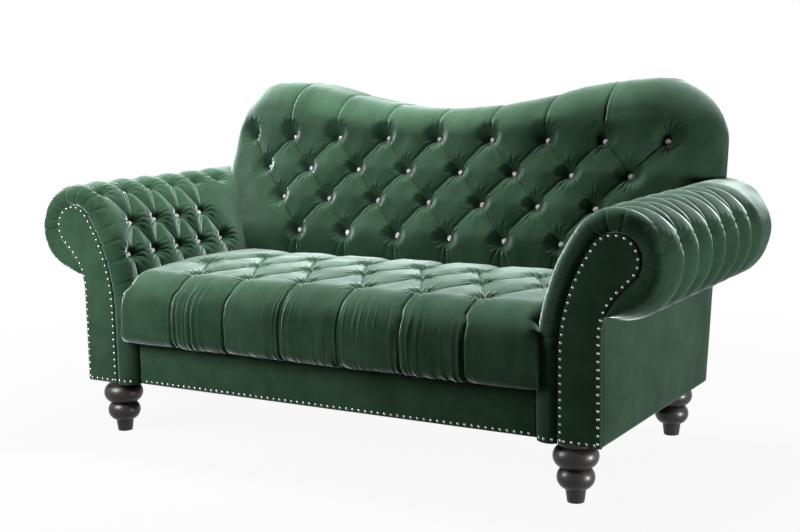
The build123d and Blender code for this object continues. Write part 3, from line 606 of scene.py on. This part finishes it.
# Arms
def arm_tufting(q_low, q_mid, q_high, q_outer, q_end):
    """The arm's buttons and pleats: three rows seen from the seat, and deep folds outside on the roll."""
    t = Tufting(arm_depth, 40, 23)
    hanging, outside = (8, 46, 2), (15, 48, 5)
    columns = [arm_start + arm_pitch * i for i in range(-1, 8)]
    halves = [y + arm_pitch / 2 for y in columns]
    rng = np.random.default_rng(29)

    def limit(z):
        """How far back a button can sit at this height before the back hides it."""
        return back_at_floor + tan(recline) * z - back_depth

    low = [y for y in columns[1:] if y < limit(arm_rows[0])]
    mid = [y for y in halves[1:] if y < limit(arm_rows[1])]
    high = columns[1:7]
    outer = [y + rng.uniform(-6, 6) for y in halves[:7]]
    for q, row in ((q_low, low), (q_mid, mid), (q_high, high)):
        for y in row:
            t.button(q, y)
    for y in outer:
        t.button(q_outer, y, outer_depth)
    rows = [(q_low, low), (q_mid, mid), (q_high, high), (q_outer, outer)]
    # The pleats over the top of the roll are shallower, so that its outline stays nearly straight
    shapes = [(11, 52, 1.8), (11, 52, 1.8), (8.5, 42, 3)]
    for (qa, ra), (qb, rb), shape in zip(rows, rows[1:], shapes):
        for a in ra:
            for b in rb:
                if abs(a - b) < arm_pitch * 0.75:
                    t.pleat((qa, a), (qb, b), *shape)
    for y in low:
        t.pleat((q_low, y), (0, y), *hanging)
    for y in outer:
        t.pleat((q_outer, y), (q_end + 60, y + rng.uniform(-10, 10)), *outside)
    return t


def facing_edge(inset):
    """The facing's outline from the inner foot over the head to the neck's end, and its outer side."""
    curve, tilt = shoulder(core_x, core_start, head_x, head_z, head_radius)
    radius = head_radius - inset
    tip = np.array([head_x + radius * cos(radians(45)), head_z - radius * sin(radians(45))])
    bend, outer = neck_radius + inset, outside_x - inset
    run = (tip[0] - outer - bend * (1 - cos(radians(45)))) / cos(radians(45))
    foot = tip - run * cos(radians(45))
    parts = [
        line((core_x + inset, foot_height), (core_x + inset, core_start), 60),
        arc((core_x + curve, core_start), curve - inset, 180, 180 - tilt, 120),
        arc((head_x, head_z), radius, 180 - tilt, -45, 200),
        line(tip, foot, 20),
        arc((outer + bend, foot[1] - bend * sin(radians(45))), bend, 135, 180, 40),
    ]
    return parts, outer


def roll_q(q, angle):
    """How far along the arm's outline its roll has turned to this angle."""
    return q[-1] - roll_radius * radians(angle - roll_end)


def matched_edge(run, q):
    """The facing's edge beside the arm's outline: line to line, shoulder to shoulder, roll to head."""
    parts, _ = facing_edge(-0.5)
    edge_run = joined(parts)
    edge_q = along(edge_run)
    head_first = len(parts[0]) + len(parts[1])
    head_part = np.arange(head_first, head_first + len(parts[2]))
    head_turn = np.degrees(np.arctan2(edge_run[:, 1] - head_z, edge_run[:, 0] - head_x))

    def head_q(angle):
        k = head_part[np.argmin(np.abs((head_turn[head_part] - angle + 180) % 360 - 180))]
        return edge_q[k]

    neck = len(edge_run) - len(parts[3]) - len(parts[4]) + 1
    tip = neck + np.argmin(np.abs(edge_run[neck:, 1] - run[-1, 1] - 2))
    turns = (147, 90, 0)
    keys_pad = [0, arm_curve_start - foot_height, *(roll_q(q, a) for a in turns), q[-1]]
    keys_edge = [0, core_start - foot_height, *(head_q(a) for a in turns), edge_q[tip]]
    match = np.interp(q, keys_pad, keys_edge)
    return np.stack([np.interp(match, edge_q, edge_run[:, k]) for k in (0, 1)], -1)


def make_arm(side, name):
    """An arm's cover from its front bolster over the tufted roll to its rear end, with its front nails."""
    count = 330
    front_rows, round_rows, cap_rows = 9, 12, 9
    tack_y, rear_tuck = 3.0, 12.0
    crease_width, hem_width, hidden_below, hidden_behind = 3.6, 22.0, 246.0, 33.0
    run, out = arm_profile(count)
    q = along(run)
    on_face = [np.interp(z, run[: count // 2, 1], q[: count // 2]) for z in arm_rows]
    t = arm_tufting(*on_face, roll_q(q, high_row_angle), roll_q(q, outer_row_angle), q[-1])
    edge = matched_edge(run, q)
    rows, marks, pulls = [], [], []

    def row(flat, y, mark, pull):
        rows.append(np.stack([flat[:, 0], np.broadcast_to(y, q.shape), flat[:, 1]], -1))
        marks.append(np.broadcast_to(mark, q.shape))
        pulls.append(np.broadcast_to(pull, q.shape))

    # The pad's front edge is as round as there is room for beside the facing
    rounding = np.minimum(arm_round, 0.7 * np.linalg.norm(edge - run, axis=1))[:, None]
    inner = run - out * rounding
    for f in np.linspace(0, 1, front_rows)[:-1]:
        flat = edge + (inner - edge) * f
        y = tack_y + (arm_front - tack_y) * sin(f * pi / 2)
        row(flat, y, arm_front - 20 * (1 - f), 1.6 - 0.6 * f)
    for angle in np.linspace(0, 90, round_rows):
        turn = radians(angle)
        y = arm_front + arm_round * (1 - cos(turn))
        row(run - out * rounding * (1 - sin(turn)), y, y, cos(turn))
    rear = rear_y(run[:, 1], 6.3)
    # Under the roll its rear end is less round, and closes against the outside back
    turned_under = roll_q(q, -20)
    under = np.clip((turned_under - q) / (turned_under - q[-1]), 0, 1)
    rear_round_q = (arm_rear_round + (rear_tuck - arm_rear_round) * under)[:, None]
    first, last = arm_front + arm_round, rear - rear_round_q[:, 0]
    steps = int(ceil((rear_y(roll_z) - first - arm_rear_round) / spacing))
    for k in range(1, steps + 1):
        y = first + (last - first) * k / steps
        row(run, y, y, 0.0)
    for angle in np.linspace(90, 0, round_rows)[1:]:
        turn = radians(angle)
        y = rear - rear_round_q[:, 0] * (1 - cos(turn))
        row(run - out * rear_round_q * (1 - sin(turn)), y, y, 0.35 * cos(turn))
    core = run - out * (roll_radius - 0.5)
    core = core + (np.array([outside_x - 3.0, roll_z]) - core) * under[:, None] ** 2
    lip = run - out * rear_round_q
    for f in np.linspace(0, 1, cap_rows)[1:]:
        row(lip + (core - lip) * f, rear + 1.5 * sin(2 * f) * (1 - under), rear, 0.35)
    grid, marks, pulls = np.stack(rows), np.stack(marks), np.stack(pulls)
    outward = normals(grid)
    if outward[60, count // 4, 0] > 0:
        outward = -outward
    along_q = np.broadcast_to(q, marks.shape)
    sunk = t.at(along_q, marks)
    wander = 0.9 * noise(along_q / 40, marks / 40, 31)
    gather = 0.3 * noise(along_q / 9, marks / 60, 37)
    rng = np.random.default_rng(43)
    for place in 150 + np.cumsum(rng.uniform(32, 70, 14)):
        slant = rng.uniform(-0.25, 0.25) * (marks - arm_front)
        crease = np.exp(-(((along_q - place - slant) / crease_width) ** 2))
        gather = gather + rng.uniform(1.4, 3.6) * crease
    gather = gather * pulls
    ends = np.clip(1.0 - pulls, 0, 1)
    hem = np.clip((q[-1] - q) / hem_width, 0, 1) ** 0.5
    move = (sunk - fullness_at(sunk) + wander) * ends * hem + gather
    grid = grid - outward * move[..., None]
    grid[0, :, 1] = tack_y + 1

    # The nails along the facing's foot go on across the front of the pad
    foot = np.argmin(np.abs(run[:, 1] - foot_height - nail_inset - 1))
    places = []
    for k in (1, 2, 3):
        near = np.argmin(np.abs(grid[:20, foot, 0] - core_x - nail_inset + k * nail_pitch))
        places.append((grid[near, foot] * (side, 1, 1), outward[near, foot] * (side, 1, 1)))
    nailheads("pad_nailheads_" + ("right" if side > 0 else "left"), places)

    points = grid.reshape(-1, 3)
    hidden = (points[:, 2] < hidden_below) & (points[:, 1] > hidden_behind)
    points, faces = kept(points * (side, 1, 1), quads(*grid.shape[:2], turned=side < 0), hidden)
    obj = mesh_object(name, points, faces, green)
    weld(obj, 0.00002)
    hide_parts("arm_pad_" + ("right" if side > 0 else "left"))
    return obj


# Seat
def seat_profile():
    """The seat's outline from under its front edge, over the round front and along its crowned top."""
    centre = (seat_round - seat_overhang, seat_height - seat_round)
    rear_end = back_at_floor + tan(recline) * seat_height + 45
    under, lower_round = seat_bottom + 1, 32.0
    lower = under + lower_round
    run = joined([
        line((22, under), (4, under), 6),
        arc((4, lower), lower_round, 270, 180, 24),
        line((4 - lower_round, lower), (-seat_overhang, centre[1]), 12),
        arc(centre, seat_round, 180, 90, 60),
        np.stack([np.linspace(centre[0], rear_end, 100),
                  seat_height + seat_crown * np.sin(np.linspace(0, pi, 100))], -1),
    ])
    return resampled(run, int(along(run)[-1] / spacing))


def seat_tufting(run, q):
    """The seat's buttons and pleats, and its rows of buttons by their length along the outline."""
    diagonal, front_pleat, rear_pleat = (6, 58, 3.2), (2.0, 36, 3.8), (5, 46)
    t = Tufting(seat_depth, 42, 51, 0.6)
    top = run[:, 0] >= seat_round - seat_overhang
    rows = [(np.interp(y, run[top, 0], q[top]), xs) for y, xs in lattice(seat_rows)]
    for b, xs in rows:
        for x in xs:
            t.button(x, b)
    for (ba, front), (bb, rear) in zip(rows, rows[1:]):
        for a in front:
            for b in rear:
                if abs(a - b) < pitch:
                    t.pleat((a, ba), (b, bb), *diagonal)
    for x in rows[0][1]:
        t.pleat((x, rows[0][0]), (x, -40), *front_pleat)
    for x in rows[-1][1]:
        t.pleat((x, rows[-1][0]), (x, q[-1] + 40), *rear_pleat)
    return t, rows


def make_seat():
    """The seat's cover, tufted on top and gathered down its front, with rounded ends between the arms."""
    half, edge, gather_height = arm_x - 1.0, 26.0, 2.2
    run = seat_profile()
    q, out = along(run), side_normals(run)
    t, rows = seat_tufting(run, q)

    columns = [(-half, i) for i in np.linspace(110, edge + 4, 8)]
    columns += [(-half + edge * (1 - cos(a)), edge * (1 - sin(a))) for a in np.linspace(0, pi / 2, 9)]
    middle = np.linspace(-half + edge, half - edge, int(2.6 * (half - edge) / spacing))
    columns += [(x, 0) for x in middle[1:-1]]
    columns += [(-x, i) for x, i in columns[16::-1]]
    xs, insets = np.array([c[0] for c in columns]), np.array([c[1] for c in columns])
    lean_out = np.clip((run[:, 1] - arm_curve_start) / 120, 0, 1) ** 2 * 12 / half
    lean_out = np.maximum(lean_out, np.clip((18 - run[:, 0]) / 30, 0, 1) ** 1.5 * 20 / half)
    room = np.clip((run[:, 1] - seat_bottom) / 70, 0.08, 1)
    flat = run[:, None, :] - out[:, None, :] * (insets[None, :] * room[:, None])[..., None]
    grid = np.stack([xs[None, :] * (1 + lean_out[:, None]), flat[..., 0], flat[..., 1]], -1)
    outward = np.zeros_like(grid)
    outward[..., 1:] = out[:, None, :]

    a, b = np.broadcast_to(xs, grid.shape[:2]), np.broadcast_to(q[:, None], grid.shape[:2])
    sunk = t.at(a, b)
    # The front is gathered between the outermost pleats, most of all beside each pleat
    front = np.clip((rows[0][0] - 40 - b) / 120, 0, 1)
    near = np.min([np.abs(a - x) for x in rows[0][1]], axis=0)
    gathers = noise(a / 7.5, b / 130, 61) + 0.7 * noise(a / 4.2, b / 90, 67)
    between = np.clip((rows[0][1][-1] + 40 - np.abs(a)) / 50, 0.15, 1)
    gathers = gathers * front * between * (0.45 + np.exp(-near / 28)) * (0.75 + noise(a / 70, b / 90, 73))
    wander = 1.2 * noise(a / 45, b / 55, 71)
    ends = np.clip(1 - insets / edge, 0, 1)[None, :]
    move = (sunk - fullness_at(sunk) + wander + gather_height * gathers) * ends
    grid = grid - outward * move[..., None]

    obj = mesh_object("seat_upholstery", grid.reshape(-1, 3), quads(*grid.shape[:2]), green)
    weld(obj)
    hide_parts("seat_cushion")
    return obj


# Flat upholstered panels
def panel(name, grid, thickness, outward, replaced, swell=3.0, edge=6.0, cloth=green):
    """A padded panel over a grid of places: crowned in the middle, its edges turned in to its back."""
    outward = np.array(outward, float)
    rows, columns = grid.shape[:2]
    du = np.minimum(along(grid[:, columns // 2]), along(grid[::-1, columns // 2])[::-1])
    dv = np.minimum(along(grid[rows // 2]), along(grid[rows // 2, ::-1])[::-1])
    gap = np.minimum(du[:, None], dv[None, :])
    crown = swell * (1 - np.clip(1 - gap / 60, 0, 1) ** 2)
    turned = edge * (1 - np.sqrt(1 - np.clip(1 - gap / edge, 0, 1) ** 2))
    wander = 0.35 * noise(np.arange(rows)[:, None] / 9 + np.zeros(columns), np.arange(columns) / 9.0, 81)
    front = grid + outward * (crown - np.minimum(turned, thickness - 0.5) + wander)[..., None]
    rear = grid - outward * thickness
    points = np.concatenate([front.reshape(-1, 3), rear.reshape(-1, 3)])
    faces = quads(rows, columns) + quads(rows, columns, rows * columns, True)
    index = np.arange(rows * columns).reshape(rows, columns)
    loop = list(index[0]) + list(index[1:, -1]) + list(index[-1, -2::-1]) + list(index[-2:0:-1, 0])
    size = rows * columns
    faces += [[int(a), int(b), int(b + size), int(a + size)] for a, b in zip(loop, loop[1:] + loop[:1])]
    obj = mesh_object(name, points, faces, cloth)
    weld(obj, 0.00001)
    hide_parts(*replaced)
    return obj


def make_facing(side, name):
    """An arm's flat front panel, between its inner and outer side, which meet on top of the head."""
    gap, top_angle = 0.3, 75
    parts, outer = facing_edge(gap)
    inner = joined(parts[:2] + [arc((head_x, head_z), head_radius - gap, 180 - 34, top_angle, 60)])
    outer_run = joined([
        line((outer, foot_height), parts[4][-1], 60), parts[4][::-1], parts[3][::-1],
        arc((head_x, head_z), head_radius - gap, -45, top_angle, 120),
    ])
    a, b = resampled(inner, 130), resampled(outer_run, 130)
    s = np.concatenate([[0, 0.01, 0.025], np.linspace(0.05, 0.95, 25), [0.975, 0.99, 1]])[None, :, None]
    flat = a[:, None] * (1 - s) + b[:, None] * s
    grid = np.stack([flat[..., 0] * side, np.zeros(flat.shape[:2]), flat[..., 1]], -1)
    suffix = "right" if side > 0 else "left"
    return panel(name, grid, 9.7, (0, -1, 0), ["arm_facing_" + suffix], 2.0, 4.0)


def make_panels():
    """The flat covers: outside arms, arm facings, apron and outside back."""
    tab_width = 13.0
    front, top = 10.3, roll_z - sqrt(roll_radius**2 - (roll_x - outside_x) ** 2) - 0.6
    z = np.linspace(foot_height, top, 70)
    y = np.stack([np.linspace(front, rear_y(v), 150) for v in z])
    for side, suffix in ((1, "right"), (-1, "left")):
        x = np.full(y.shape, side * outside_x)
        grid = np.stack([x, y, np.broadcast_to(z[:, None], y.shape)], -1)
        panel("outside_arm_upholstery_" + suffix, grid, 4.0, (side, 0, 0), ["outside_arm_" + suffix], 3.0)
        make_facing(side, "facing_upholstery_" + suffix)
    half = arm_x - 0.3
    x, z = np.meshgrid(np.linspace(-half, half, 260), np.linspace(foot_height, seat_bottom - 0.3, 40))
    grid = np.stack([x, np.full(x.shape, apron_y), z], -1)
    panel("apron_upholstery", grid, 8.0, (0, -1, 0), ["apron"], 1.0, 4.0)
    # The outside back is as wide as the body up to the rolls, and follows the humps above them
    left, over, right = back_sides(back_rim + 0.5, foot_height, lean, (150, 24, 60, 120))
    height = right[:, 1] * cos(lean)
    rise = np.clip((height - roll_z - 40) / 80, 0, 1)
    wider = (outside_x - 4.5 - right[:, 0]) * (1 - smooth(rise))
    right[:, 0] += np.where(rise < 1, wider, 0)
    # Beside each roll's rear end a tab closes the cover
    tab = np.clip((height - 430) / 18, 0, 1) * np.clip((610 - height) / 60, 0, 1)
    right[:, 0] += tab_width * smooth(tab)
    left[:, 0] = -right[:, 0]
    grid = in_rear_plane(coons(left, over, right), 0)
    rearward = (0, cos(lean), -sin(lean))
    panel("outside_back_upholstery", grid, 6.0, rearward, ["outside_back"], 4.0, cloth=plain_green)


make_back()
make_arm(1, "arm_upholstery_right")
make_arm(-1, "arm_upholstery_left")
make_seat()
make_panels()

# Carried-over pieces take the finish of their slot
for row in frame["record"]["subparts"]:
    obj = frame["nodes"][row["node"]]
    obj.data.materials.clear()
    obj.data.materials.append(finishes[row["material_slot"]])


# Stage, light and camera
def seen_directly(tree):
    """1 for rays from the camera, also by mirrors and glass, and 0 for the rays that light the sofa."""
    path = tree.nodes.new("ShaderNodeLightPath")
    seen = path.outputs["Is Camera Ray"]
    for other in ("Is Glossy Ray", "Is Transmission Ray"):
        most = tree.nodes.new("ShaderNodeMath")
        most.operation = "MAXIMUM"
        tree.links.new(seen, most.inputs[0])
        tree.links.new(path.outputs[other], most.inputs[1])
        seen = most.outputs[0]
    return seen


def backdrop_material(name, shade, near, far):
    """A matt surface that is seen as white far off, with painted shade near the sofa, where it glows at only
    0.93 of white and keeps a little of its real shadow.
    """
    material = bpy.data.materials.new(name)
    material.use_nodes = True
    tree = material.node_tree
    shader = tree.nodes["Principled BSDF"]
    shader.inputs["Base Color"].default_value = (*shade, 1)
    shader.inputs["Roughness"].default_value = 0.9
    glow = tree.nodes.new("ShaderNodeEmission")
    place = tree.nodes.new("ShaderNodeTexCoord")
    away = tree.nodes.new("ShaderNodeVectorMath")
    away.operation = "LENGTH"
    tree.links.new(place.outputs["Object"], away.inputs[0])
    # Painted shade: the white glow is 0.93 near the sofa and rises to 1.0 far off, leaving a grey pool round
    # it
    white = tree.nodes.new("ShaderNodeMapRange")
    white.interpolation_type = "SMOOTHSTEP"
    for key, value in (("From Min", near), ("From Max", far), ("To Min", 0.93), ("To Max", 1.0)):
        white.inputs[key].default_value = value
    tree.links.new(away.outputs["Value"], white.inputs["Value"])
    part = tree.nodes.new("ShaderNodeMath")
    part.operation = "MULTIPLY"
    tree.links.new(white.outputs[0], part.inputs[1])
    tree.links.new(seen_directly(tree), part.inputs[0])
    mix = tree.nodes.new("ShaderNodeMixShader")
    tree.links.new(part.outputs[0], mix.inputs[0])
    tree.links.new(shader.outputs[0], mix.inputs[1])
    tree.links.new(glow.outputs[0], mix.inputs[2])
    tree.links.new(mix.outputs[0], tree.nodes["Material Output"].inputs["Surface"])
    return material


def make_stage():
    """A wide floor, and a world that is seen as white and gives a little soft light."""
    # Between near and far (m) the floor's painted shade fades out to white
    reach, shade, near, far = 40.0, (0.12, 0.12, 0.12), 0.9, 2.4
    mesh = bpy.data.meshes.new("floor")
    corners = [(-reach, -reach, 0), (reach, -reach, 0), (reach, reach, 0), (-reach, reach, 0)]
    mesh.from_pydata(corners, [], [[0, 1, 2, 3]])
    mesh.materials.append(backdrop_material("floor_white_with_painted_shade", shade, near, far))
    floor = bpy.data.objects.new("floor", mesh)
    scene.collection.objects.link(floor)

    world = bpy.data.worlds.new("studio")
    scene.world = world
    world.use_nodes = True
    tree = world.node_tree
    soft = tree.nodes["Background"]
    soft.inputs["Color"].default_value = (0.95, 0.98, 1.0, 1)
    soft.inputs["Strength"].default_value = 0.03
    white = tree.nodes.new("ShaderNodeBackground")
    white.inputs["Color"].default_value = (1, 1, 1, 1)
    mix = tree.nodes.new("ShaderNodeMixShader")
    tree.links.new(seen_directly(tree), mix.inputs[0])
    tree.links.new(soft.outputs[0], mix.inputs[1])
    tree.links.new(white.outputs[0], mix.inputs[2])
    tree.links.new(mix.outputs[0], tree.nodes["World Output"].inputs["Surface"])


def lamp(name, place, target, size, power):
    """A rectangular lamp of this size (m) and power (W) that faces a target."""
    data = bpy.data.lights.new(name, "AREA")
    data.shape, data.size, data.size_y, data.energy = "RECTANGLE", size[0], size[1], power
    obj = bpy.data.objects.new(name, data)
    obj.location = place
    obj.rotation_euler = (Vector(target) - Vector(place)).to_track_quat("-Z", "Y").to_euler()
    scene.collection.objects.link(obj)


make_stage()
# A key lamp in front on the left, a strip overhead and a lamp low on the right
lamp("key", (-0.95, -1.3, 1.0), (-0.5, 0, 0.4), (0.7, 0.7), 49)
lamp("top", (-0.3, 0.5, 2.5), (-0.1, 0.15, 0.4), (1.8, 0.4), 300)
lamp("side", (2.9, -0.05, 0.3), (0.7, 0, 0.25), (0.5, 0.5), 100)

# The camera stands where the photo was taken from
yaw, pitch_down, roll = radians(30.812), radians(8.394), radians(-0.975)
ahead = Vector((-sin(yaw) * cos(pitch_down), cos(yaw) * cos(pitch_down), -sin(pitch_down)))
right = Vector((cos(yaw), sin(yaw), 0))
above = right.cross(ahead)
across = cos(roll) * right + sin(roll) * above
upward = cos(roll) * above - sin(roll) * right
lens = bpy.data.cameras.new("camera")
lens.lens, lens.sensor_width = 60.79, 36.0
camera = bpy.data.objects.new("camera", lens)
camera.matrix_world = Matrix((across, upward, -ahead)).transposed().to_4x4()
camera.location = (1.81806, -2.63617 + 0.001 * facing_y, 0.96362)
scene.collection.objects.link(camera)
scene.camera = camera
scene.view_settings.view_transform = "Standard"
